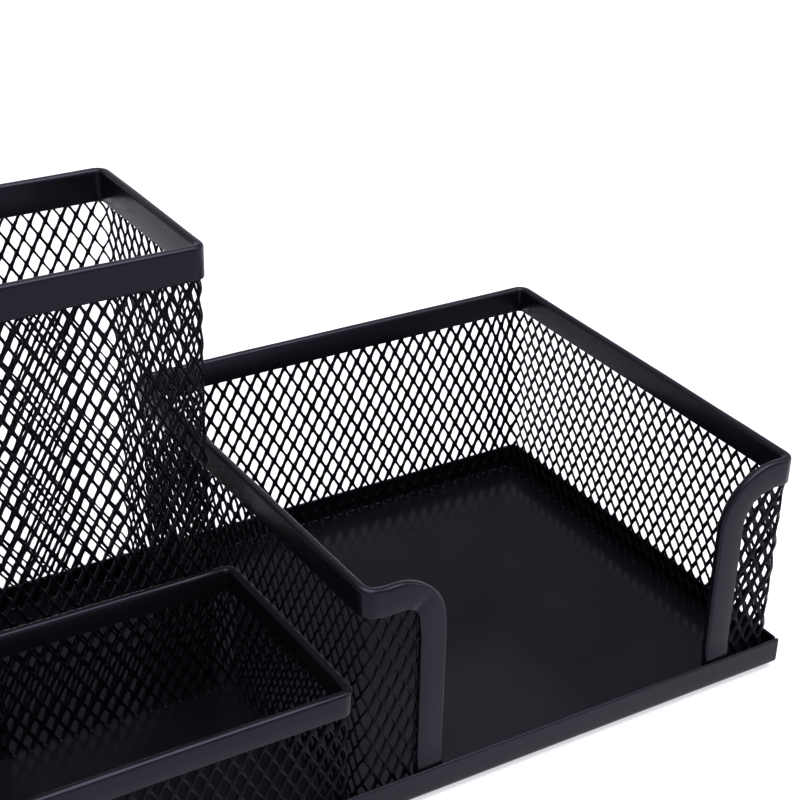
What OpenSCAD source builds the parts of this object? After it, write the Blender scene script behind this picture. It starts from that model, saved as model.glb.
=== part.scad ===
// Desk organizer of expanded steel mesh: a pressed base tray that carries a tall pen cup at the rear left,
// a low clip tray in front of it, and a memo tray with an open front on the right.
// +X is right, +Y is the rear, +Z is up. The origin is the middle of the footprint, on the desk.

/* [Base tray] */
// Overall width of the base, lip to lip
base_w = 205; // [190:1:230]
// Overall depth of the base, lip to lip
base_d = 102.6; // [98:0.2:120]
// Thickness of the base sheet
sheet_t = 0.8; // [0.6:0.1:1.2]
// Height of the upturned lip, from the underside of the base
lip_h = 6.5; // [5:0.5:8]
// Outer radius of the bend between floor and lip
bend_r = 1.4; // [1.3:0.1:2]
// Open notch between two lips at a corner
corner_notch = 0.4; // [0.3:0.1:1.5]
// Distance from the lip's outer face to the outer face of the walls
wall_inset = 1.3; // [1.3:0.1:2.5]

/* [Memo tray] */
// Width of the memo tray over its rims
memo_w = 104.5; // [90:0.5:112]
// Height of the memo tray, from the underside of the base
memo_h = 52; // [40:1:60]
// Width of each front return beside the open front
return_w = 18.8; // [17.5:0.1:26]
// Radius of the rim where it turns down at the open front
return_r = 13.5; // [8:0.5:14]
// Depth of the memo tray's rim channel
memo_band = 6; // [4:0.1:6.4]

/* [Pen cup] */
// Height of the pen cup, from the underside of the base
pen_h = 101; // [80:0.5:110]
// Depth of the pen cup over its rims
pen_d = 48; // [40:0.5:52]
// Gap between the pen cup and the memo tray
pen_gap = 3.5; // [2:0.5:4]
// Depth of the rim channels on the pen cup and its divider
pen_band = 6.8; // [4:0.1:7]
// How far the divider's top lies below the cup's top
divider_drop = 9; // [7.5:0.5:30]

/* [Clip tray] */
// Height of the clip tray, from the underside of the base
clip_h = 31; // [22:0.5:40]
// How far the clip tray stands ahead of the memo tray's front
clip_step = 0.4; // [0:0.1:0.4]
// Gap between the clip tray and the memo tray
clip_gap = 1; // [0.5:0.5:4]
// Gap between the clip tray and the pen cup
row_gap = 1; // [0.5:0.5:3]
// Depth of the clip tray's rim channel
clip_band = 5.2; // [4:0.1:6.4]

/* [Mesh and rims] */
// Thickness of the mesh over its raised strands
mesh_t = 1; // [0.7:0.1:1.2]
// Width of a rim channel over its two legs
rim_t = 2; // [1.8:0.1:2.6]
// Thickness of the crown that closes a rim channel over the mesh edge
rim_crown = 0.6; // [0.4:0.1:0.8]
// Radius along the two upper edges of a rim channel
rim_round = 0.8; // [0.4:0.1:0.8]
// Corner radius of the walls, on the mesh centre line
corner_r = 2; // [2:0.5:4]

/* [Foot pads] */
// Diameter of a foot pad
pad_d = 10; // [8:1:14]
// Thickness of a foot pad
pad_t = 1; // [0.5:0.5:2]
// Distance from the base's edge to the middle of a foot pad
pad_inset = 13; // [10:1:20]

/* [Hidden] */
$fn = 48;

steel_colour = "#2b2c31";
pad_colour = "#141414";

// levels
floor_z = pad_t + sheet_t;
memo_top = pad_t + memo_h;
pen_top = pad_t + pen_h;
clip_top = pad_t + clip_h;
divider_top = pen_top - divider_drop;

// plan: outer faces of the three walled boxes
side_x = base_w / 2 - wall_inset;
end_y = base_d / 2 - wall_inset;
memo_x = side_x - memo_w / 2;
memo_d = 2 * end_y;
pen_w = 2 * side_x - memo_w - pen_gap;
pen_x = pen_w / 2 - side_x;
pen_y = end_y - pen_d / 2;
clip_w = 2 * side_x - memo_w - clip_gap;
clip_d = 2 * end_y - pen_d - row_gap + clip_step;
clip_x = clip_w / 2 - side_x;
clip_y = clip_d / 2 - end_y - clip_step;

// The mesh lies in the middle of the rim channel's width.
mesh_inset = (rim_t - mesh_t) / 2;
cut_margin = 1;

// ---- shared shapes ----

// Filled rectangle with round corners, centred.
module rounded_plate(w, d, r) {
    square([w - 2 * r, d], center = true);
    square([w, d - 2 * r], center = true);
    for (x = [-1, 1], y = [-1, 1])
        translate([x * (w / 2 - r), y * (d / 2 - r)]) circle(r);
}

// Plan of a mesh wall round a box whose rims measure w by d.
module mesh_ring(w, d) {
    difference() {
        rounded_plate(w - 2 * mesh_inset, d - 2 * mesh_inset, corner_r + mesh_t / 2);
        rounded_plate(w - 2 * mesh_inset - 2 * mesh_t, d - 2 * mesh_inset - 2 * mesh_t, corner_r - mesh_t / 2);
    }
}

// Section of a rim channel: crown at y = 0, legs downwards, mesh slot in the middle.
module rim_profile(band) {
    difference() {
        union() {
            translate([-rim_t / 2, -band]) square([rim_t, band - rim_round]);
            translate([rim_round - rim_t / 2, -rim_t / 2]) square([rim_t - 2 * rim_round, rim_t / 2]);
            for (side = [-1, 1])
                translate([side * (rim_t / 2 - rim_round), -rim_round]) circle(rim_round);
        }
        translate([-mesh_t / 2, -band - cut_margin])
            square([mesh_t, band + cut_margin - rim_crown]);
    }
}

// Straight level run of rim channel, from the origin along +X.
module rim_run(length, band) {
    rotate([90, 0, 90]) linear_extrude(length) rim_profile(band);
}

// Level quarter turn of rim channel about the origin, from +X to +Y.
module rim_turn(band) {
    rotate_extrude(angle = 90) translate([corner_r, 0]) rim_profile(band);
}

// Closed rim round a box of outer size w by d, crown at z = 0.
module rim_loop(w, d, band) {
    turn_x = w / 2 - rim_t / 2 - corner_r;
    turn_y = d / 2 - rim_t / 2 - corner_r;
    for (side = [-1, 1]) {
        translate([-turn_x, side * (turn_y + corner_r), 0]) rim_run(2 * turn_x, band);
        translate([side * (turn_x + corner_r), -turn_y, 0]) rotate([0, 0, 90]) rim_run(2 * turn_y, band);
    }
    translate([turn_x, turn_y, 0]) rim_turn(band);
    translate([-turn_x, turn_y, 0]) rotate([0, 0, 90]) rim_turn(band);
    translate([-turn_x, -turn_y, 0]) rotate([0, 0, 180]) rim_turn(band);
    translate([turn_x, -turn_y, 0]) rotate([0, 0, 270]) rim_turn(band);
}

// ---- base tray ----

// Section of the lip: outer face at x = 0, underside at y = 0, with a short tab into the floor.
module lip_profile() {
    tab = 2;
    translate([-bend_r - tab, 0]) square([tab, sheet_t]);
    translate([-bend_r, bend_r]) intersection() {
        difference() {
            circle(bend_r);
            circle(bend_r - sheet_t);
        }
        translate([0, -bend_r]) square(bend_r);
    }
    translate([-sheet_t, bend_r]) square([sheet_t, lip_h - bend_r - sheet_t / 2]);
    translate([-sheet_t / 2, lip_h - sheet_t / 2]) circle(d = sheet_t);
}

// Lip of a given length, centred on the origin's x = 0, rising at y = 0 and facing -Y.
module lip_run(length) {
    translate([-length / 2, 0, 0]) rotate([90, 0, 90]) linear_extrude(length) mirror([1, 0]) lip_profile();
}

module base_tray() {
    side_lip = base_d - 2 * (bend_r + corner_notch);
    color(steel_colour) translate([0, 0, pad_t]) {
        translate([0, 0, sheet_t / 2]) cube([base_w - 2 * bend_r, base_d - 2 * bend_r, sheet_t], center = true);
        translate([0, -base_d / 2, 0]) lip_run(base_w);
        translate([0, base_d / 2, 0]) rotate([0, 0, 180]) lip_run(base_w);
        translate([base_w / 2, 0, 0]) rotate([0, 0, 90]) lip_run(side_lip);
        translate([-base_w / 2, 0, 0]) rotate([0, 0, 270]) lip_run(side_lip);
    }
}

// ---- memo tray ----

// Wall strip bent round the left, rear and right sides, ending in two front returns with a round upper corner.
module memo_mesh() {
    edge_x = memo_w / 2 - return_w + rim_crown;
    mesh_top = memo_top - rim_crown;
    arc_r = return_r - rim_crown;
    front_cut = corner_r + 2 * rim_t;
    color(steel_colour) translate([memo_x, 0, 0]) difference() {
        translate([0, 0, floor_z]) linear_extrude(mesh_top - floor_z) mesh_ring(memo_w, memo_d);
        translate([-edge_x, -memo_d / 2 - cut_margin, 0])
            cube([2 * edge_x, front_cut, mesh_top + cut_margin]);
        for (side = [0, 1]) mirror([side, 0, 0])
            translate([edge_x, front_cut - memo_d / 2 - cut_margin, mesh_top - arc_r]) rotate([90, 0, 0])
                linear_extrude(front_cut) difference() {
                    translate([-cut_margin, 0]) square([arc_r + cut_margin, arc_r + cut_margin]);
                    translate([arc_r, 0]) circle(arc_r);
                }
    }
}

// Rim of the memo tray's right half: rear, side and front return down to the floor.
module memo_rim_half() {
    turn_x = memo_w / 2 - rim_t / 2 - corner_r;
    turn_y = memo_d / 2 - rim_t / 2 - corner_r;
    front_y = -turn_y - corner_r;
    arc_x = memo_w / 2 - return_w + return_r;
    arc_z = memo_top - return_r;
    translate([0, turn_y + corner_r, memo_top]) rim_run(turn_x, memo_band);
    translate([turn_x, turn_y, memo_top]) rim_turn(memo_band);
    translate([turn_x + corner_r, -turn_y, memo_top]) rotate([0, 0, 90]) rim_run(2 * turn_y, memo_band);
    translate([turn_x, -turn_y, memo_top]) rotate([0, 0, 270]) rim_turn(memo_band);
    translate([arc_x, front_y, memo_top]) rim_run(turn_x - arc_x, memo_band);
    translate([arc_x, front_y, arc_z]) rotate([90, 0, 0]) rotate([0, 0, 90])
        rotate_extrude(angle = 90) translate([return_r, 0]) rotate(-90) rim_profile(memo_band);
    translate([arc_x - return_r, front_y, floor_z]) linear_extrude(arc_z - floor_z) rotate(90) rim_profile(memo_band);
}

module memo_rim() {
    color(steel_colour) translate([memo_x, 0, 0])
        for (side = [0, 1]) mirror([side, 0, 0]) memo_rim_half();
}

// ---- pen cup ----

module pen_mesh() {
    color(steel_colour) translate([pen_x, pen_y, floor_z])
        linear_extrude(pen_top - rim_crown - floor_z) mesh_ring(pen_w, pen_d);
}

module pen_rim() {
    color(steel_colour) translate([pen_x, pen_y, pen_top]) rim_loop(pen_w, pen_d, pen_band);
}

// Length of the divider between the cup's inner faces.
divider_length = pen_d - 2 * (mesh_inset + mesh_t);

module divider_mesh() {
    height = divider_top - rim_crown - floor_z;
    color(steel_colour) translate([pen_x, pen_y, floor_z + height / 2])
        cube([mesh_t, divider_length, height], center = true);
}

module divider_rim() {
    color(steel_colour) translate([pen_x, pen_y - divider_length / 2, divider_top])
        rotate([0, 0, 90]) rim_run(divider_length, pen_band);
}

// ---- clip tray ----

module clip_mesh() {
    color(steel_colour) translate([clip_x, clip_y, floor_z])
        linear_extrude(clip_top - rim_crown - floor_z) mesh_ring(clip_w, clip_d);
}

module clip_rim() {
    color(steel_colour) translate([clip_x, clip_y, clip_top]) rim_loop(clip_w, clip_d, clip_band);
}

// ---- foot pads ----

// One pad under a corner of the base; side_sign is -1 for left, end_sign is -1 for front.
module foot_pad(side_sign, end_sign) {
    color(pad_colour)
        translate([side_sign * (base_w / 2 - pad_inset), end_sign * (base_d / 2 - pad_inset), 0])
            cylinder(d = pad_d, h = pad_t);
}

base_tray();
memo_mesh();
memo_rim();
pen_mesh();
pen_rim();
divider_mesh();
divider_rim();
clip_mesh();
clip_rim();
foot_pad(-1, -1);  // foot_front_left
foot_pad(1, -1);  // foot_front_right
foot_pad(-1, 1);  // foot_rear_left
foot_pad(1, 1);  // foot_rear_right
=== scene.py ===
"""Looks of a desk organizer: expanded steel mesh walls with folded rim channels on a pressed base tray."""

import math

import bpy
import numpy as np
from mathutils import Matrix, Vector


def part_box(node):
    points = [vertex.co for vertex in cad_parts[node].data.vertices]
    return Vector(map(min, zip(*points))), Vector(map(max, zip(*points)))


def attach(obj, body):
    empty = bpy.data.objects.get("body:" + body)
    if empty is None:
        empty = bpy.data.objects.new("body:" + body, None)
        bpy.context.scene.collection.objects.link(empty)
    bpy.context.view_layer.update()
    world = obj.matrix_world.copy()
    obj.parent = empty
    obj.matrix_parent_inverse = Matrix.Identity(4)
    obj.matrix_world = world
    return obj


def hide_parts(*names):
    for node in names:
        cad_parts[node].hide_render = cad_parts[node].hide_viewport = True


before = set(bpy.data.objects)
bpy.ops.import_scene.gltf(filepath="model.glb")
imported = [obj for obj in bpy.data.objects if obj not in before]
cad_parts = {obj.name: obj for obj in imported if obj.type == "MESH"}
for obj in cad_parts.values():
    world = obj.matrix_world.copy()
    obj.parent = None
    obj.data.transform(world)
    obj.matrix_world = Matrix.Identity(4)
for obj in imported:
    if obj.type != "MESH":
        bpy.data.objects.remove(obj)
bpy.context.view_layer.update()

scene = bpy.context.scene
SEED = 7
rng = np.random.default_rng(SEED)

MM = 0.001

# ---- driving dimensions, in millimetres ----

SHEET_T = 0.8          # base sheet
BEND_R = 1.4           # outer radius between floor and lip
FLOOR_WAVE = 0.05      # unevenness of the pressed floor
FLOOR_CALM = 20        # width along the bends over which that unevenness fades out
FLOOR_MARGIN = 3       # plain strip of floor beside each bend
EDGE_ROUND = 0.38      # rounding of the base sheet's cut edges
CORNER_NOTCH = 0.08    # open notch between two lips
END_REACH = 0.45       # how much further the side lips' ends reach above their bend
RIM_T = 2.0            # rim channel over its two legs
MEMO_BAND = 6.0        # depth of the memo tray's rim channel
PEN_BAND = 6.8         # depth of the rim channels on the pen cup and its divider
CLIP_BAND = 5.2        # depth of the clip tray's rim channel
RIM_CROWN = 0.6        # steel over the mesh edge
RIM_ROUND = 0.75       # radius along the two upper edges of a rim channel
CORNER_R = 2.0         # wall corner radius on the centre line
RETURN_W = 18.8        # front return beside the open front
RETURN_R = 13.5        # outer radius of the rim where it turns down
LEFT_OUTER_R = 11.0    # the left return turns more tightly, along its outer edge
LEFT_INNER_R = 3.6     # and along its inner edge
LEFT_DIP = 0.8         # and its level run dips towards the turn
DIP_RAMP = 5           # length over which the run begins to dip
DIP_FADE = 50          # angle in degrees over which the dip fades out, down the turn
PINCH_LEFT = 0.34      # depth of the fold pinched into the left turn's outer leg
PINCH_RIGHT = 0.16     # and into the right turn's
PINCH_AT = 42          # where the fold lies, in degrees up from the turn's lower end
PINCH_SPREAD = 5       # its half width in degrees
PINCH_START = 1.5      # depth below the crown where the fold begins
FOOT_LEAN = 0.46       # how far the returns' feet lean out towards the lip
FOOT_BEND = 9.2        # height over the floor where they begin to lean
FOOT_BLEND = 4         # and the height in which they reach the full lean
SEAM_PLACE = 0.15      # where a closed rim's two ends meet, along the rear side from the left
SEAM = 0.16            # gap between those ends
STRAND_T = 0.58        # thickness of a mesh strand
RING_UNEVEN = 0.02     # random shift of the strands' middle lines
HOLE_UNEVEN = 0.025    # random shift of a whole opening
SIZE_UNEVEN = 0.018    # random change of an opening's size, as a share of it
LEAN = -0.04           # sideways lean of the openings per millimetre of height
FOOT_FLARE = 0.3       # how far the coat spreads where a strand meets the floor
MEMO_PITCH_Z = 5.95    # upward pitch of the memo tray's openings
PEN_PITCH_S = 3.38     # pitch along the wall of the pen cup's openings
PEN_PITCH_Z = 5.68     # and their upward pitch
CLIP_PITCH_S = 3.3     # pitch along the wall of the clip tray's openings
CLIP_PITCH_Z = 5.9     # and their upward pitch
SLOT_T = 1.0           # gap between the two legs of a rim channel
LEG_ROUND = 0.14       # rounding at the free ends of those legs
SLOT_END = 0.05        # extra steel at the slot's closed end
MESH_STOP = 0.12       # the memo mesh stops this far under the crown
OPENING_DEPTH = 2.35   # the memo wall's openings have their centres at least this far inside its edge
CROWN_STEPS = 7        # places round each upper edge of a rim channel
RISE_STEPS = 44        # places up a return
TURN_STEPS = 25        # places round its turn


def box_mm(node):
    """Lowest and highest corner of a CAD node, in millimetres."""
    low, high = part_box(node)
    return np.array(low) / MM, np.array(high) / MM


def make_object(name, points, faces, material, nodes, sharp_angle=None):
    """A mesh piece from points in millimetres that stands for the given CAD nodes."""
    mesh = bpy.data.meshes.new(name)
    mesh.from_pydata((np.asarray(points) * MM).tolist(), [], faces)
    mesh.validate()
    mesh.shade_smooth()
    if sharp_angle is not None:
        mesh.set_sharp_from_angle(angle=math.radians(sharp_angle))
    mesh.materials.append(material)
    piece = bpy.data.objects.new(name, mesh)
    scene.collection.objects.link(piece)
    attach(piece, "root")
    if nodes:
        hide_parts(*nodes)
    return piece


# ---- walls in plan ----


class WallPath:
    """Centre line of a wall seen from above, followed clockwise: straight runs joined by round corners.

    A place on the wall is (s, n, z): distance along the line, distance outwards from it, and height.
    """

    def __init__(self, points, radius):
        points = [np.array(p, float) for p in points]
        starts, origins, headings, curvatures = [], [], [], []
        s = 0.0
        here = points[0]
        for i in range(1, len(points)):
            run = points[i] - here
            is_last = i == len(points) - 1
            length = np.linalg.norm(run) - (0 if is_last else radius)
            heading = math.atan2(run[1], run[0])
            starts.append(s)
            origins.append(here)
            headings.append(heading)
            curvatures.append(0.0)
            s += length
            here = here + run / np.linalg.norm(run) * length
            if not is_last:
                starts.append(s)
                origins.append(here)
                headings.append(heading)
                curvatures.append(1 / radius)
                s += radius * math.pi / 2
                ahead = points[i + 1] - points[i]
                here = points[i] + ahead / np.linalg.norm(ahead) * radius
        self.length = s
        self.radius = radius
        self.starts = np.array(starts)
        self.origins = np.array(origins)
        self.headings = np.array(headings)
        self.curvatures = np.array(curvatures)

    def place(self, s, n, z):
        """Points in space for arrays of wall places."""
        s, n, z = np.broadcast_arrays(s, n, z)
        seg = np.clip(np.searchsorted(self.starts, s, side="right") - 1, 0, len(self.starts) - 1)
        t = s - self.starts[seg]
        heading = self.headings[seg]
        curved = self.curvatures[seg] > 0
        now = heading - t * self.curvatures[seg]
        normal = np.stack([-np.sin(now), np.cos(now)], -1)
        along = np.stack([np.cos(heading), np.sin(heading)], -1)
        first_normal = np.stack([-np.sin(heading), np.cos(heading)], -1)
        on_line = self.origins[seg] + along * t[..., None]
        on_arc = self.origins[seg] + self.radius * (normal - first_normal)
        plan = np.where(curved[..., None], on_arc, on_line) + normal * n[..., None]
        return np.concatenate([plan, z[..., None]], -1)

    def samples(self, first, last, fine, coarse):
        """Distances from first to last, close together where the line is curved."""
        marks = [first, last]
        ends = np.append(self.starts[1:], self.length)
        for start, end, curvature in zip(self.starts, ends, self.curvatures):
            step = fine if curvature > 0 else coarse
            lo, hi = max(start, first), min(end, last)
            if hi > lo:
                count = max(1, int(math.ceil((hi - lo) / step)))
                marks.extend(np.linspace(lo, hi, count + 1))
        marks = np.unique(np.round(marks, 4))
        keep = np.append(True, np.diff(marks) > 0.05)
        return marks[keep]


def box_path(low, high):
    """Closed wall path round a box, from a place near the left end of its rear side."""
    x0, y0 = low[:2] + RIM_T / 2
    x1, y1 = high[:2] - RIM_T / 2
    start = x0 + (x1 - x0) * SEAM_PLACE
    return WallPath([(start, y1), (x1, y1), (x1, y0), (x0, y0), (x0, y1), (start, y1)], CORNER_R)


# ---- expanded mesh ----

# One opening, in half pitches from its centre. The outer ring is the middle line of the strands round it.
STEPS = 3
ROW_KEYS = 100003   # more than the ring places in any column, so that each place has a key of its own
OUTER_RING = [
    (3, 0), (2, 1), (1, 2), (0, 3), (-1, 2), (-2, 1),
    (-3, 0), (-2, -1), (-1, -2), (0, -3), (1, -2), (2, -1),
]
QUARTER = [(0.77, 0.0), (0.713, 0.11), (0.303, 0.506), (0.0, 0.74)]
HOLE_RING = np.array(
    QUARTER
    + [(-x, z) for x, z in QUARTER[2:0:-1]]
    + [(-QUARTER[0][0], 0.0)]
    + [(-x, -z) for x, z in QUARTER[1:3]]
    + [(0.0, -QUARTER[3][1])]
    + [(x, -z) for x, z in QUARTER[2:0:-1]]
)
HOLE_EDGE_DEPTH = 0.5   # share of the half thickness left at an opening's edge
# The sheet is expanded by slitting and stretching, so its strands step in and out: each opening's
# right side lies further out than its left side. These are the steps round one opening, in millimetres.
STEP = 0.19
RING_RISE = STEP / 3 * np.array([0, 1, -1, 0, 1, -1, 0, -1, 1, 0, -1, 1])
HOLE_RISE = STEP * np.array([1.65, 1.5, 0.15, 0, -0.15, -1.5, -1.65, -1.5, -0.15, 0, 0.15, 1.5])


class Lattice:
    """The mesh openings along a wall: an upward pitch, and knots of pitch, lean and size along it."""

    def __init__(self, path, pitch_z, knots, closed):
        places, pitches, leans, openings = np.array(knots, float).T
        fine = np.linspace(0, path.length, 2001)
        pitch = np.interp(fine, places * path.length, pitches)
        count = np.concatenate([[0], np.cumsum(np.diff(fine) / ((pitch[1:] + pitch[:-1]) / 2))])
        around = int(round(count[-1]))
        self.half_count = 2 * around
        self.half_z = pitch_z / 2
        self.fine = fine
        self.count = count * around / count[-1] * 2
        self.knot_places = places * path.length
        self.leans = leans
        self.openings = openings
        self.length = path.length
        self.closed = closed

    def s(self, q, z):
        """Distance along the wall of a place q half pitches along, at height z above the floor."""
        wrapped = q % self.half_count if self.closed else q
        s = np.interp(wrapped, self.count, self.fine)
        return s + np.interp(s, self.knot_places, self.leans) * z

    def opening(self, q):
        """Size of the opening q half pitches along, as a share of the usual one."""
        return np.interp(np.interp(q, self.count, self.fine), self.knot_places, self.openings)


def mesh_sheet(name, path, lattice, floor, rows, keep=None, clamp=None, nodes=()):
    """Expanded mesh over a wall path, from the floor up to the given number of half rows."""
    half_z = lattice.half_z
    closed = lattice.closed
    around = lattice.half_count
    columns = np.arange(around) if closed else np.arange(1, around)
    ci, cj = [a.ravel() for a in np.meshgrid(columns, np.arange(rows + 1), indexing="ij")]
    chosen = (ci + cj) % 2 == 0
    ci, cj = ci[chosen], cj[chosen]
    if keep is not None:
        chosen = keep(lattice.s(ci.astype(float), cj * half_z), floor + cj * half_z)
        ci, cj = ci[chosen], cj[chosen]
    ring = np.array(OUTER_RING)
    ki = ci[:, None] * STEPS + ring[None, :, 0]
    kj = cj[:, None] * STEPS + ring[None, :, 1]
    if closed:
        ki = ki % (around * STEPS)
    key = ki * ROW_KEYS + (kj + STEPS)
    unique, first, index = np.unique(key.ravel(), return_index=True, return_inverse=True)
    index = index.reshape(key.shape)
    rise = np.broadcast_to(RING_RISE, key.shape).ravel()[first]
    uz = (unique % ROW_KEYS - STEPS) * half_z / STEPS
    wobble = rng.normal(0, RING_UNEVEN, (len(unique), 2))
    us = lattice.s((unique // ROW_KEYS) / STEPS, uz) + wobble[:, 0]
    uz = floor + np.where(uz <= 1e-6, 0, uz + wobble[:, 1])
    hole_shift = rng.normal(0, HOLE_UNEVEN, (len(ci), 1, 2))
    grow = lattice.opening(ci)[:, None] * (1 + rng.normal(0, SIZE_UNEVEN, (len(ci), 1)))
    hz = cj[:, None] * half_z + HOLE_RING[None, :, 1] * half_z * grow
    hs = lattice.s(ci[:, None] + HOLE_RING[None, :, 0] * grow, hz) + hole_shift[..., 0]
    hz = floor + hz + np.where(cj[:, None] > 0, hole_shift[..., 1], 0)
    hole_rise = np.broadcast_to(HOLE_RISE, hs.shape).ravel()
    if clamp is not None:
        us, uz = clamp(us, uz)
        hs, hz = clamp(hs, hz)
    if closed:
        us = us % path.length
        hs = hs % path.length
    ring_t = STRAND_T / 2 + FOOT_FLARE * (uz <= floor + 1e-6)
    edge_t = STRAND_T / 2 * HOLE_EDGE_DEPTH + FOOT_FLARE * (hz.ravel() <= floor + 1e-6)
    points = np.concatenate([
        path.place(us, rise + ring_t, uz),
        path.place(us, rise - ring_t, uz),
        path.place(hs.ravel(), hole_rise + edge_t, hz.ravel()),
        path.place(hs.ravel(), hole_rise - edge_t, hz.ravel()),
    ])
    n_ring, n_hole = len(unique), hs.size
    hole = np.arange(n_hole).reshape(hs.shape)
    outer_front, outer_back = index, index + n_ring
    hole_front, hole_back = hole + 2 * n_ring, hole + 2 * n_ring + n_hole
    faces = []
    count = len(OUTER_RING)
    half = count // 2
    for k in range(count):
        m = (k + 1) % count
        rows_used = slice(None) if k < half else cj > 0
        of, om = outer_front[rows_used, k], outer_front[rows_used, m]
        bf, bm = outer_back[rows_used, k], outer_back[rows_used, m]
        hf, hm = hole_front[rows_used, k], hole_front[rows_used, m]
        gf, gm = hole_back[rows_used, k], hole_back[rows_used, m]
        faces.append(np.stack([hf, hm, om, of], -1))
        faces.append(np.stack([bf, bm, gm, gf], -1))
        faces.append(np.stack([gf, gm, hm, hf], -1))
    foot = cj == 0
    for k, flip in ((0, False), (half, True)):
        corners = [outer_front[foot, k], outer_back[foot, k], hole_back[foot, k], hole_front[foot, k]]
        cap = np.stack(corners, -1)
        faces.append(cap[:, ::-1] if flip else cap)
    quads = np.concatenate(faces)
    used, quads = np.unique(quads.ravel(), return_inverse=True)
    quads = quads.reshape(-1, 4).tolist()
    return make_object(name, points[used], quads, mesh_coat, nodes)


# ---- rim channels ----


def rim_section(band):
    """Closed outline of a rim channel of the given depth: pairs of (outwards, below the crown)."""
    half = RIM_T / 2
    slot = SLOT_T / 2
    soft = LEG_ROUND
    flat = half - RIM_ROUND
    quarter = math.pi / 2
    bends = np.concatenate([
        np.linspace(0, quarter, CROWN_STEPS),
        np.linspace(quarter, math.pi, CROWN_STEPS),
    ])
    sides = np.repeat([flat, -flat], CROWN_STEPS)
    crown = [
        (x + RIM_ROUND * math.cos(a), RIM_ROUND - RIM_ROUND * math.sin(a))
        for x, a in zip(sides, bends)
    ]
    leg = [
        (half, band * 0.55),
        (half, band - 2 * soft),
        (half - 0.3 * soft, band - 0.7 * soft),
        (half - soft, band),
        (slot + soft, band),
        (slot, band - soft),
        (slot, RIM_CROWN + SLOT_END),
    ]
    other_leg = [(-n, d) for n, d in leg]
    return np.array(crown + other_leg + leg[::-1])


def sweep_rim(name, path, edge, band, nodes, shape=None):
    """Rim channel of a given depth along an edge line on the wall: rows of (s, z, inward s, inward z)."""
    section = rim_section(band)
    edge = np.asarray(edge)
    s, z, ins, inz = edge.T
    run = np.concatenate([[0], np.cumsum(np.hypot(np.diff(s), np.diff(z)))])
    total = run[-1]
    phase = rng.uniform(0, 2 * math.pi, 4)
    turns = run / total * 2 * math.pi
    # A folded strip is never quite straight: it bows and dips by hundredths of a millimetre.
    bow = 0.035 * np.sin(3 * turns + phase[0]) + 0.025 * np.sin(7 * turns + phase[1])
    dip = 0.03 * np.sin(5 * turns + phase[2]) + 0.02 * np.sin(11 * turns + phase[3])
    n = section[None, :, 0] + bow[:, None]
    below_crown = section[None, :, 1] > 0
    d = section[None, :, 1] + np.abs(dip)[:, None] * below_crown
    if shape is not None:
        n, d = shape(n, d, s, z, section)
    ss = s[:, None] + ins[:, None] * d
    zz = z[:, None] + inz[:, None] * d
    points = path.place(ss.ravel(), n.ravel(), zz.ravel())
    count, size = len(s), len(section)
    grid = np.arange(count * size).reshape(count, size)
    nxt = np.roll(grid, -1, axis=1)
    faces = np.stack([grid[:-1], nxt[:-1], nxt[1:], grid[1:]], -1).reshape(-1, 4).tolist()
    faces.append(grid[0][::-1].tolist())
    faces.append(grid[-1].tolist())
    return make_object(name, points, faces, rim_coat, nodes, sharp_angle=48)


def edge_rows(s, z, ins, inz):
    """Rows of an edge line, each value an array or a single number."""
    return np.stack(np.broadcast_arrays(*[np.asarray(v, float) for v in (s, z, ins, inz)]), -1)


def level_edge(path, top, first, last):
    """Level edge of a wall at the given height."""
    return edge_rows(path.samples(first, last, fine=0.45, coarse=2.0), top, 0, -1)


def open_front_edge(path, floor, top):
    """Edge of the memo wall: up one return, round its corner, along the top, and down the other return."""
    radius = RETURN_R
    rise = np.linspace(floor, top - radius, RISE_STEPS)[:-1]
    swing = np.linspace(math.pi, math.pi / 2, TURN_STEPS)
    length = path.length
    up = edge_rows(0, rise, 1, 0)
    cos_a, sin_a = np.cos(swing), np.sin(swing)
    left = edge_rows(radius + radius * cos_a, top - radius + radius * sin_a, -cos_a, -sin_a)
    level = level_edge(path, top, radius, length - radius)[1:-1]
    right = left[::-1] * [-1, 1, -1, 1] + [length, 0, 0, 0]
    down = edge_rows(length, rise[::-1], -1, 0)
    return np.concatenate([up, left, level, right, down])


# ---- materials ----

COAT_DARK, COAT_LIGHT = (0.0020, 0.0020, 0.0027), (0.0032, 0.0032, 0.0042)
MESH_DARK, MESH_LIGHT = (0.0010, 0.0010, 0.0015), (0.0016, 0.0016, 0.0023)
COAT_SHEEN = (0.72, 0.72, 1.0)     # the coat's reflections are slightly blue
DUST = (0.006, 0.006, 0.007)
SHADE_PATCH_MM = 22                # size of the slow changes of shade
GLOSS_PATCH_MM = 9                 # size of the slow changes of gloss
DUST_MM = 0.55                     # size of the paler grains
BASE_REFLECTANCE = 0.175
RIM_REFLECTANCE = 0.165
MESH_REFLECTANCE = 0.07
# paler colour painted round the strands' feet as a painted highlight
PAINTED_FOOT_GLINT = (0.03, 0.03, 0.035)
PAINTED_FOOT_GLINT_MM = (0.3, 0.8)        # heights between which the painted highlight at the strands' feet fades out
PORE_MM = 0.5                      # size of the foam's pores
PORE_DEPTH_MM = 0.08


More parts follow.
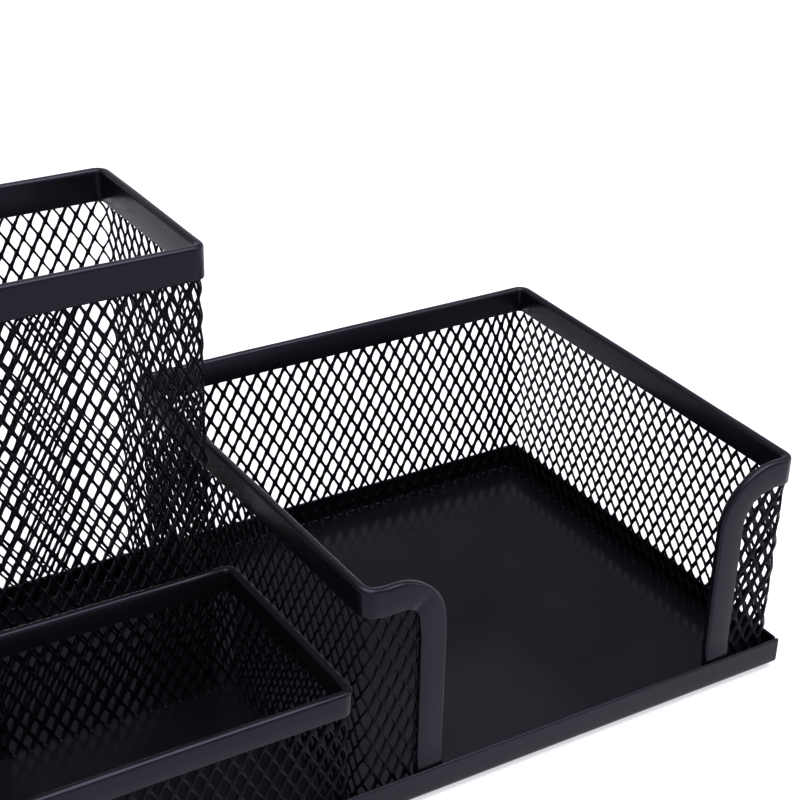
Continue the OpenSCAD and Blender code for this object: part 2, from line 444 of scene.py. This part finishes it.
def powder_coat(name, dark, light, roughness, peel_mm, peel_depth_mm, reflectance):
    """Satin black powder coat: fine peel, slow changes of shade and gloss, a faint dust of paler grains."""
    material = bpy.data.materials.new(name)
    material.use_nodes = True
    tree = material.node_tree
    nodes, links = tree.nodes, tree.links
    shader = nodes["Principled BSDF"]
    shader.inputs["IOR"].default_value = 1.5
    shader.inputs["Specular IOR Level"].default_value = reflectance
    shader.inputs["Specular Tint"].default_value = (*COAT_SHEEN, 1)
    place = nodes.new("ShaderNodeTexCoord")

    def noise(size_mm, detail, roughness=0.5):
        node = nodes.new("ShaderNodeTexNoise")
        node.inputs["Scale"].default_value = 1 / (size_mm * MM)
        node.inputs["Detail"].default_value = detail
        node.inputs["Roughness"].default_value = roughness
        links.new(place.outputs["Object"], node.inputs["Vector"])
        return node

    def spread(source, low, high, to_low, to_high):
        node = nodes.new("ShaderNodeMapRange")
        node.inputs["From Min"].default_value = low
        node.inputs["From Max"].default_value = high
        node.inputs["To Min"].default_value = to_low
        node.inputs["To Max"].default_value = to_high
        links.new(source, node.inputs["Value"])
        return node.outputs["Result"]

    shade = nodes.new("ShaderNodeMix")
    shade.data_type = "RGBA"
    shade.inputs["A"].default_value = (*dark, 1)
    shade.inputs["B"].default_value = (*light, 1)
    slow_change = spread(noise(SHADE_PATCH_MM, 4, 0.6).outputs["Fac"], 0.32, 0.68, 0, 1)
    links.new(slow_change, shade.inputs["Factor"])
    dust = nodes.new("ShaderNodeMix")
    dust.data_type = "RGBA"
    dust.inputs["B"].default_value = (*DUST, 1)
    links.new(shade.outputs["Result"], dust.inputs["A"])
    grains = spread(noise(DUST_MM, 2, 0.5).outputs["Fac"], 0.70, 0.80, 0, 0.5)
    links.new(grains, dust.inputs["Factor"])
    links.new(dust.outputs["Result"], shader.inputs["Base Color"])
    gloss = spread(noise(GLOSS_PATCH_MM, 3, 0.55).outputs["Fac"], 0.3, 0.7, *roughness)
    links.new(gloss, shader.inputs["Roughness"])
    bump = nodes.new("ShaderNodeBump")
    bump.inputs["Strength"].default_value = 1
    bump.inputs["Distance"].default_value = peel_depth_mm * MM
    links.new(noise(peel_mm, 2, 0.45).outputs["Fac"], bump.inputs["Height"])
    links.new(bump.outputs["Normal"], shader.inputs["Normal"])
    return material


def foam(name):
    """Matt black foam rubber with fine pores."""
    material = bpy.data.materials.new(name)
    material.use_nodes = True
    tree = material.node_tree
    shader = tree.nodes["Principled BSDF"]
    shader.inputs["Specular IOR Level"].default_value = 0.25
    place = tree.nodes.new("ShaderNodeTexCoord")
    pores = tree.nodes.new("ShaderNodeTexVoronoi")
    pores.inputs["Scale"].default_value = 1 / (PORE_MM * MM)
    tree.links.new(place.outputs["Object"], pores.inputs["Vector"])
    shade = tree.nodes.new("ShaderNodeMapRange")
    shade.inputs["To Min"].default_value = 0.75
    shade.inputs["To Max"].default_value = 0.95
    tree.links.new(pores.outputs["Distance"], shade.inputs["Value"])
    tree.links.new(shade.outputs["Result"], shader.inputs["Roughness"])
    # The pores' sunken pits are painted darker than their rims: painted shade.
    pit_shade = tree.nodes.new("ShaderNodeMix")
    pit_shade.data_type = "RGBA"
    pit_shade.inputs["A"].default_value = (0.006, 0.006, 0.006, 1)
    pit_shade.inputs["B"].default_value = (0.02, 0.02, 0.021, 1)
    tree.links.new(pores.outputs["Distance"], pit_shade.inputs["Factor"])
    tree.links.new(pit_shade.outputs["Result"], shader.inputs["Base Color"])
    bump = tree.nodes.new("ShaderNodeBump")
    bump.inputs["Distance"].default_value = PORE_DEPTH_MM * MM
    tree.links.new(pores.outputs["Distance"], bump.inputs["Height"])
    tree.links.new(bump.outputs["Normal"], shader.inputs["Normal"])
    return material


base_coat = powder_coat(
    "base_coat", COAT_DARK, COAT_LIGHT,
    roughness=(0.205, 0.24), peel_mm=1.3, peel_depth_mm=0.003, reflectance=BASE_REFLECTANCE,
)
mesh_coat = powder_coat(
    "mesh_coat", MESH_DARK, MESH_LIGHT,
    roughness=(0.30, 0.38), peel_mm=0.9, peel_depth_mm=0.004, reflectance=MESH_REFLECTANCE,
)
rim_coat = powder_coat(
    "rim_coat", COAT_DARK, COAT_LIGHT,
    roughness=(0.22, 0.27), peel_mm=1.2, peel_depth_mm=0.0018, reflectance=RIM_REFLECTANCE,
)

# On the mesh a highlight is painted into the coat: its colour is made paler round the strands' feet, where
# they meet the floor, to stand in for the glints that catch there.
mesh_nodes, mesh_links = mesh_coat.node_tree.nodes, mesh_coat.node_tree.links
mesh_shader = mesh_nodes["Principled BSDF"]
mesh_place = mesh_nodes.new("ShaderNodeTexCoord")
mesh_height = mesh_nodes.new("ShaderNodeSeparateXYZ")
foot_glint_share = mesh_nodes.new("ShaderNodeMapRange")
mesh_links.new(mesh_place.outputs["Object"], mesh_height.inputs["Vector"])
mesh_links.new(mesh_height.outputs["Z"], foot_glint_share.inputs["Value"])
foot_level = box_mm("memo_mesh")[0][2] * MM
foot_glint_share.inputs["From Min"].default_value = foot_level + PAINTED_FOOT_GLINT_MM[0] * MM
foot_glint_share.inputs["From Max"].default_value = foot_level + PAINTED_FOOT_GLINT_MM[1] * MM
foot_glint_share.inputs["To Min"].default_value = 1
foot_glint_share.inputs["To Max"].default_value = 0
foot_glint_paint = mesh_nodes.new("ShaderNodeMix")
foot_glint_paint.data_type = "RGBA"
foot_glint_paint.inputs["B"].default_value = (*PAINTED_FOOT_GLINT, 1)
plain_coat = mesh_shader.inputs["Base Color"].links[0].from_socket
mesh_links.new(plain_coat, foot_glint_paint.inputs["A"])
mesh_links.new(foot_glint_share.outputs["Result"], foot_glint_paint.inputs["Factor"])
mesh_links.new(foot_glint_paint.outputs["Result"], mesh_shader.inputs["Base Color"])
foot_foam = foam("foot_foam")

# ---- base tray ----


def base_sheet():
    """The base tray: a flat floor with four bent lips, open at the corners."""
    low, high = box_mm("base_tray")
    half_t = SHEET_T / 2
    bend = BEND_R - half_t
    end_x, end_y = high[0] - BEND_R, high[1] - BEND_R
    floor_mid = low[2] + half_t
    turn = np.linspace(0, math.pi / 2, 6)
    rise = np.linspace(0, high[2] - floor_mid - bend, 4)[1:]
    out = np.concatenate([bend * np.sin(turn), np.full(len(rise), bend)])
    up = np.concatenate([bend * (1 - np.cos(turn)), bend + rise])
    side_end = end_y - CORNER_NOTCH
    inside_x = np.linspace(-end_x + FLOOR_MARGIN, end_x - FLOOR_MARGIN, 46)
    inside_y = np.linspace(-side_end + FLOOR_MARGIN, side_end - FLOOR_MARGIN, 22)
    xs = np.concatenate([[-end_x], inside_x, [end_x]])
    ys = np.concatenate([[-end_y, -side_end], inside_y, [side_end, end_y]])
    points, faces, index = [], [], {}

    def point(x, y, z):
        key = (round(x, 3), round(y, 3), round(z, 3))
        if key not in index:
            index[key] = len(points)
            points.append((x, y, z))
        return index[key]

    def grid(rows):
        ids = [[point(*p) for p in row] for row in rows]
        for first, second in zip(ids, ids[1:]):
            for k in range(len(first) - 1):
                faces.append([first[k], first[k + 1], second[k + 1], second[k]])

    grid([[(x, y, floor_mid) for x in xs] for y in ys])
    wide = np.concatenate([[-high[0]], xs, [high[0]]])
    for side in (-1, 1):
        rows = []
        run = wide[::-side]
        grid([[(x, side * (end_y + o), floor_mid + u) for x in run[::-1]] for o, u in zip(out, up)])
        run = ys[1:-1][::side]
        at_end = np.abs(run) > side_end - 0.01
        for o, u in zip(out, up):
            ends = np.where(at_end, np.sign(run) * END_REACH * min(u / bend, 1), 0)
            rows.append([(side * (end_x + o), y, floor_mid + u) for y in (run + ends)[::-1]])
        grid(rows)
    points = np.array(points)
    # The pressed floor is a little uneven away from its bends.
    share_x = np.clip((end_x - np.abs(points[:, 0])) / FLOOR_CALM, 0, 1)
    share_y = np.clip((end_y - np.abs(points[:, 1])) / FLOOR_CALM, 0, 1)
    wave = np.sin(points[:, 0] / 17 + 1.1) * np.cos(points[:, 1] / 13 + 0.4)
    points[:, 2] += FLOOR_WAVE * (share_x * share_y) * wave
    piece = make_object("base_tray_sheet", points, faces, base_coat, ["base_tray"])
    thicken = piece.modifiers.new("sheet", "SOLIDIFY")
    thicken.thickness = SHEET_T * MM
    thicken.offset = 0
    thicken.use_even_offset = True
    soften = piece.modifiers.new("edges", "BEVEL")
    soften.width = EDGE_ROUND * MM
    soften.segments = 4
    soften.limit_method = "ANGLE"
    soften.harden_normals = True
    soften.use_clamp_overlap = False
    soften.angle_limit = math.radians(50)
    return piece


base_sheet()

# ---- walls and rims ----

floor_top = box_mm("memo_mesh")[0][2]


def half_rows(top, band, pitch_z):
    """Number of half rows of openings that reach well into the rim channel but not its crown."""
    return int((top - band - floor_top) / (pitch_z / 2) + 1.0)


# memo tray
memo_low, memo_high = box_mm("memo_rim")
x0, y0 = memo_low[:2] + RIM_T / 2
x1, y1 = memo_high[:2] - RIM_T / 2
left_return_end = (memo_low[0] + RETURN_W, y0)
right_return_end = (memo_high[0] - RETURN_W, y0)
memo_corners = [(x0, y0), (x0, y1), (x1, y1), (x1, y0)]
memo_path = WallPath([left_return_end, *memo_corners, right_return_end], CORNER_R)
memo_top = memo_high[2]


def corner_depth(s, z):
    """How far a place lies inside the memo wall's edge line."""
    across = np.minimum(s, memo_path.length - s)
    below = memo_top - z
    in_corner = (across < RETURN_R) & (below < RETURN_R)
    radial = RETURN_R - np.hypot(RETURN_R - across, RETURN_R - below)
    return np.where(in_corner, radial, np.minimum(across, below))


def keep_memo(s, z):
    """Whether an opening's centre lies deep enough inside the edge to be cut."""
    return corner_depth(s, z) > OPENING_DEPTH


def clamp_memo(s, z):
    """Moves places out of the rim channel's crown."""
    limit = RIM_CROWN + MESH_STOP
    length = memo_path.length
    mirrored = s > length / 2
    across = np.where(mirrored, length - s, s)
    below = memo_top - z
    in_corner = (across < RETURN_R) & (below < RETURN_R)
    away_s, away_z = RETURN_R - across, RETURN_R - below
    reach = np.hypot(away_s, away_z)
    too_far = in_corner & (reach > RETURN_R - limit)
    shrink = np.where(too_far, (RETURN_R - limit) / np.maximum(reach, 1e-6), 1)
    across = np.where(in_corner, RETURN_R - away_s * shrink, np.maximum(across, limit))
    below = np.where(in_corner, RETURN_R - away_z * shrink, np.maximum(below, limit))
    return np.where(mirrored, length - across, across), memo_top - below


# Pitch, lean and size of the openings change a little from wall to wall. Each knot starts with its share of
# the way round: the left return and the left wall, the rear wall, then the right wall and the right return.
memo_knots = [
    (0, 3.3, -0.05, 1),
    (0.08, 3.22, -0.05, 1),
    (0.33, 3.22, -0.03, 1),
    (0.37, 3.53, -0.02, 0.98),
    (0.63, 3.53, -0.03, 0.98),
    (0.67, 3.22, -0.09, 0.875),
    (0.92, 3.22, -0.09, 0.875),
    (1, 3.3, -0.06, 0.95),
]
memo_lattice = Lattice(memo_path, MEMO_PITCH_Z, memo_knots, False)
memo_rows = half_rows(memo_top, MEMO_BAND, MEMO_PITCH_Z)
mesh_sheet(
    "memo_tray_mesh", memo_path, memo_lattice, floor_top, memo_rows, keep_memo, clamp_memo, ["memo_mesh"]
)


def reach_of_turn(angle, straight, radius):
    """Distance from a return corner's centre to a band edge: straight, then turned with a given radius."""
    offset = straight - radius
    first = np.arctan2(offset, straight)
    cos_a, sin_a = np.cos(angle), np.sin(angle)
    flat = straight / np.maximum(np.maximum(cos_a, sin_a), 0.5)
    under = np.maximum(offset**2 * (2 * cos_a * sin_a - 1) + radius**2, 0)
    turned = offset * (cos_a + sin_a) + np.sqrt(under)
    return np.where((angle > first) & (angle < math.pi / 2 - first), turned, flat)


def shape_returns(n, d, s, z, section):
    """The returns' rims: a pinch where each turns down, a tighter left turn, feet against the lip."""
    is_left = s < memo_path.length / 2
    across = np.minimum(s, memo_path.length - s)
    angle = np.arctan2(z - (memo_top - RETURN_R), RETURN_R - across)
    bent = (across < RETURN_R) & (z > memo_top - RETURN_R)
    outer = np.where(bent & is_left, reach_of_turn(angle, RETURN_R, LEFT_OUTER_R), RETURN_R)
    inner_straight = RETURN_R - MEMO_BAND
    inner = np.where(bent & is_left, reach_of_turn(angle, inner_straight, LEFT_INNER_R), inner_straight)
    on_run = np.where(across < RETURN_R, 0, (RETURN_W - across) / DIP_RAMP)
    dip_share = np.where(bent, np.degrees(angle) / DIP_FADE, on_run)
    dip = LEFT_DIP * np.clip(dip_share, 0, 1) * is_left
    depth = RETURN_R - outer[:, None] + d * ((outer - inner) / MEMO_BAND)[:, None] + dip[:, None]
    pinch = np.where(is_left, PINCH_LEFT, PINCH_RIGHT)
    off_fold = (angle - math.radians(PINCH_AT)) / math.radians(PINCH_SPREAD)
    fold = np.where(bent, np.exp(-(off_fold**2)), 0) * pinch
    deep = np.clip((section[None, :, 1] - PINCH_START) / 4, 0, 1)
    outside = section[None, :, 0] > 0.6
    foot = np.clip((FOOT_BEND - (z - floor_top)) / FOOT_BLEND, 0, 1) * (across < 0.01) * FOOT_LEAN
    return n - fold[:, None] * deep * outside + foot[:, None], depth


memo_edge = open_front_edge(memo_path, floor_top, memo_top)
sweep_rim("memo_tray_rim", memo_path, memo_edge, MEMO_BAND, ["memo_rim"], shape_returns)

# pen cup and clip tray: the size of the openings at shares of the way round, clockwise from the rear left
pen_openings = [
    (0, 1.03),
    (0.27, 1.03),
    (0.3, 1.09),
    (0.44, 1.09),
    (0.47, 1.0),
    (0.77, 1.0),
    (0.8, 1.03),
    (1, 1.03),
]
clip_openings = [(0, 1), (1, 1)]
for node, name, band, pitch_s, pitch_z, openings in (
    ("pen", "pen_cup", PEN_BAND, PEN_PITCH_S, PEN_PITCH_Z, pen_openings),
    ("clip", "clip_tray", CLIP_BAND, CLIP_PITCH_S, CLIP_PITCH_Z, clip_openings),
):
    low, high = box_mm(node + "_rim")
    path = box_path(low, high)
    knots = [(share, pitch_s, LEAN, opening) for share, opening in openings]
    lattice = Lattice(path, pitch_z, knots, True)
    rows = half_rows(high[2], band, pitch_z)
    mesh_sheet(name + "_mesh", path, lattice, floor_top, rows, nodes=[node + "_mesh"])
    edge = level_edge(path, high[2], SEAM / 2, path.length - SEAM / 2)
    sweep_rim(name + "_rim", path, edge, band, [node + "_rim"])

# divider in the pen cup
low, high = box_mm("divider_mesh")
divider_top = box_mm("divider_rim")[1][2]
middle_x = (low[0] + high[0]) / 2
divider_path = WallPath([(middle_x, low[1]), (middle_x, high[1])], CORNER_R)
divider_knots = [(0, PEN_PITCH_S, 0, 1.05), (1, PEN_PITCH_S, 0, 1.05)]
divider_lattice = Lattice(divider_path, PEN_PITCH_Z, divider_knots, False)
divider_rows = half_rows(divider_top, PEN_BAND, PEN_PITCH_Z)
mesh_sheet(
    "divider_mesh_sheet", divider_path, divider_lattice, floor_top, divider_rows, nodes=["divider_mesh"]
)
edge = level_edge(divider_path, divider_top, 0, divider_path.length)
sweep_rim("divider_top_rim", divider_path, edge, PEN_BAND, ["divider_rim"])

# ---- foot pads ----


def foot_disc(node):
    """A die-cut foam disc, slightly bulged at its side."""
    low, high = box_mm(node)
    centre = (low + high) / 2
    radius = (high[0] - low[0]) / 2
    height = high[2] - low[2]
    outline = [
        (0.0, 0.0), (0.55, 0.0), (0.94, 0.0), (0.985, 0.08), (1.0, 0.35),
        (1.0, 0.65), (0.985, 0.92), (0.94, 1.0), (0.55, 1.0), (0.0, 1.0),
    ]
    count = 48
    points = [(centre[0], centre[1], low[2])]
    for share, level in outline[1:-1]:
        z = low[2] + height * level
        for k in range(count):
            a = 2 * math.pi * k / count
            x = centre[0] + radius * share * math.cos(a)
            y = centre[1] + radius * share * math.sin(a)
            points.append((x, y, z))
    points.append((centre[0], centre[1], high[2]))
    faces = []
    rings = len(outline) - 2
    for k in range(count):
        m = (k + 1) % count
        faces.append([0, 1 + m, 1 + k])
        for r in range(rings - 1):
            a, b = 1 + r * count, 1 + (r + 1) * count
            faces.append([a + k, a + m, b + m, b + k])
        top = 1 + (rings - 1) * count
        faces.append([top + k, top + m, len(points) - 1])
    return make_object(node + "_disc", points, faces, foot_foam, [node], sharp_angle=50)


for end in ("front", "rear"):
    for side in ("left", "right"):
        foot_disc(f"foot_{end}_{side}")

# ---- floor, light and camera ----

DESK_REACH = 6.0        # in metres, far past the view
DESK_COLOUR = (0.42, 0.425, 0.445)
DESK_GLOW = 0.54        # keeps the pale desk evenly bright, like a studio sweep
SKY_TINT = (0.96, 0.98, 1.12)

desk_mesh = bpy.data.meshes.new("desk_surface")
desk_corners = [(x * DESK_REACH, y * DESK_REACH, 0) for x, y in ((-1, -1), (1, -1), (1, 1), (-1, 1))]
desk_mesh.from_pydata(desk_corners, [], [(0, 1, 2, 3)])
desk = bpy.data.objects.new("desk_surface", desk_mesh)
scene.collection.objects.link(desk)
desk_paint = bpy.data.materials.new("desk_paint")
desk_paint.use_nodes = True
paint = desk_paint.node_tree.nodes["Principled BSDF"]
paint.inputs["Base Color"].default_value = (*DESK_COLOUR, 1)
paint.inputs["Roughness"].default_value = 0.9
paint.inputs["Specular IOR Level"].default_value = 0.1
paint.inputs["Emission Color"].default_value = (0.97, 0.985, 1.0, 1)
paint.inputs["Emission Strength"].default_value = DESK_GLOW
desk_mesh.materials.append(desk_paint)

world = bpy.data.worlds.new("studio")
scene.world = world
world.use_nodes = True
wn, wl = world.node_tree.nodes, world.node_tree.links
sky = wn["Background"]
direction = wn.new("ShaderNodeTexCoord")
split = wn.new("ShaderNodeSeparateXYZ")
wl.new(direction.outputs["Generated"], split.inputs["Vector"])
ramp = wn.new("ShaderNodeValToRGB")
wl.new(split.outputs["Z"], ramp.inputs["Fac"])
# The studio is bright near the horizon, dimmer above it and brightest overhead.
ramp.color_ramp.elements[0].position = 0.0
ramp.color_ramp.elements[0].color = (0.98, 0.985, 1, 1)
ramp.color_ramp.elements[1].position = 1.0
ramp.color_ramp.elements[1].color = (1.9, 1.94, 2.0, 1)
for position, level in ((0.14, 0.95), (0.36, 0.56), (0.72, 0.50), (0.84, 1.9)):
    element = ramp.color_ramp.elements.new(position)
    element.color = (*[level * share for share in SKY_TINT], 1)
wl.new(ramp.outputs["Color"], sky.inputs["Color"])
sky.inputs["Strength"].default_value = 1.0


def soft_box(name, place, aim, size, power, tint):
    """Rectangular softbox at a place in metres, turned towards another."""
    light = bpy.data.lights.new(name, "AREA")
    light.shape = "RECTANGLE"
    light.size, light.size_y = size
    light.energy = power
    light.color = tint
    lamp = bpy.data.objects.new(name, light)
    lamp.location = place
    lamp.rotation_euler = (Vector(aim) - Vector(place)).to_track_quat("-Z", "Y").to_euler()
    scene.collection.objects.link(lamp)
    return lamp


ABOVE_DESK = (0, 0, 0.05)
soft_box("overhead", (0.15, -0.2, 1.15), (0, 0, 0), (1.1, 0.9), 21, (1, 0.995, 0.98))
soft_box("right_fill", (1.1, -0.5, 0.7), ABOVE_DESK, (0.8, 0.8), 4, (0.96, 0.98, 1))
soft_box("front_fill", (-0.35, -1.3, 0.75), ABOVE_DESK, (1.4, 0.7), 5, (0.97, 0.98, 1))

# The camera looks at the tray's right half from the front left, turned by these angles in degrees.
CAMERA_PLACE = Vector((-0.1469, -0.2894, 0.2368))
CAMERA_YAW = 33.642
CAMERA_PITCH = 30.401
CAMERA_ROLL = 2.236
CAMERA_LENS = 83.2              # focal length in mm on a sensor 36 mm wide
CAMERA_SHIFT = (-0.05, 0.125)   # the view is a crop of a wider one
yaw = math.radians(CAMERA_YAW)
pitch = math.radians(CAMERA_PITCH)
roll = math.radians(CAMERA_ROLL)
level_share = math.cos(pitch)
ahead = Vector((math.sin(yaw) * level_share, math.cos(yaw) * level_share, -math.sin(pitch)))
right = Vector((math.cos(yaw), -math.sin(yaw), 0))
up = right.cross(ahead)
turned_right = right * math.cos(roll) + up * math.sin(roll)
turned_up = up * math.cos(roll) - right * math.sin(roll)
camera_data = bpy.data.cameras.new("camera")
camera_data.sensor_width = 36
camera_data.lens = CAMERA_LENS
camera_data.shift_x, camera_data.shift_y = CAMERA_SHIFT
camera_data.clip_start = 0.01
camera_data.clip_end = 50
camera = bpy.data.objects.new("camera", camera_data)
axes = Matrix((turned_right, turned_up, -ahead)).transposed()
camera.matrix_world = Matrix.Translation(CAMERA_PLACE) @ axes.to_4x4()
scene.collection.objects.link(camera)
scene.camera = camera

scene.view_settings.view_transform = "Standard"
